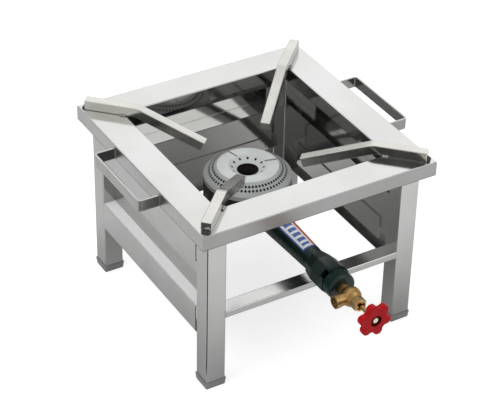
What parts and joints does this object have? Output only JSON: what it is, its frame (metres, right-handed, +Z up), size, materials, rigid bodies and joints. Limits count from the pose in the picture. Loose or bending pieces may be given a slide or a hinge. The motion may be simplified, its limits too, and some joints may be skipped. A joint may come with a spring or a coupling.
{
  "type": "stock pot range",
  "caption": "Low square stainless stand with a round gas ring, mitred top frame, diagonal pot supports, carrying handles, mixing tube and handwheel valve.",
  "frame": {"origin": "on the floor under the middle of the whole range: the centre of its outline seen from above, half way between the front of the handwheel and the back of the stand", "axes": "+Z up, -Y towards the cook (valve and handwheel), the carrying handles at -X and +X"},
  "size_m": [0.47, 0.549, 0.314],
  "materials": {
    "stainless": "polished stainless sheet",
    "support_steel": "polished stainless bar",
    "foot_plastic": "matt moulded plastic",
    "fastener_steel": "plated steel",
    "burner_iron": "as-cast, black",
    "cap_iron": "as-cast, coated light grey",
    "green_paint": "gloss dark green enamel on cast iron",
    "label_film": "plain printed film without words",
    "brass": "turned brass",
    "spindle_brass": "turned brass",
    "packing": "graphited packing",
    "red_plastic": "glossy red plastic"
  },
  "bodies": {
    "stand": {"top_strip_front": "stainless", "top_strip_back": "stainless", "top_strip_left": "stainless", "top_strip_right": "stainless", "leg_front_left": "stainless", "leg_front_right": "stainless", "leg_back_left": "stainless", "leg_back_right": "stainless", "upper_rail_left": "stainless", "upper_rail_right": "stainless", "upper_rail_back": "stainless", "panel_left": "stainless", "panel_right": "stainless", "panel_back": "stainless", "panel_seam_left": "stainless", "panel_seam_right": "stainless", "panel_seam_back": "stainless", "stretcher_left": "stainless", "stretcher_right": "stainless", "stretcher_back": "stainless", "stretcher_front": "stainless", "handle_left": "stainless", "handle_right": "stainless", "handle_welds": "stainless", "cross_bar_front": "stainless", "cross_bar_back": "stainless", "pot_support_front_left": "support_steel", "pot_support_front_right": "support_steel", "pot_support_back_left": "support_steel", "pot_support_back_right": "support_steel", "foot_cap_front_left": "foot_plastic", "foot_cap_front_right": "foot_plastic", "foot_cap_back_left": "foot_plastic", "foot_cap_back_right": "foot_plastic", "burner_bolts": "fastener_steel", "burner_washers": "fastener_steel", "burner_body": "burner_iron", "mixing_tube": "green_paint", "air_mixer": "green_paint", "tube_label": "label_film", "valve_body": "brass", "bonnet": "brass", "gland_bush": "brass", "gas_jet": "brass", "gland_packing": "packing"},
    "burner_cap_body": {"burner_cap": "cap_iron"},
    "valve_disc_body": {"valve_disc": "brass"},
    "handwheel_body": {"spindle": "spindle_brass", "handwheel": "red_plastic", "handwheel_screw": "fastener_steel"}
  },
  "joints": [
    {"name": "spindle_rise", "type": "slide", "parent": "stand", "child": "valve_disc_body", "axis": [0, -1, 0], "range_m": [0, 0.003]},
    {"name": "handwheel_turn", "type": "hinge", "parent": "valve_disc_body", "child": "handwheel_body", "pos_m": [0, -0.2685, 0.176], "axis": [0, -1, 0], "range_deg": [0, 720]},
    {"name": "burner_cap_lift", "type": "slide", "parent": "stand", "child": "burner_cap_body", "axis": [0, 0, 1], "range_m": [0, 0.03]}
  ],
  "couplings": [
    {"joint": "spindle_rise", "follows": "handwheel_turn", "m_per_rad": 0.00023873}
  ]
}
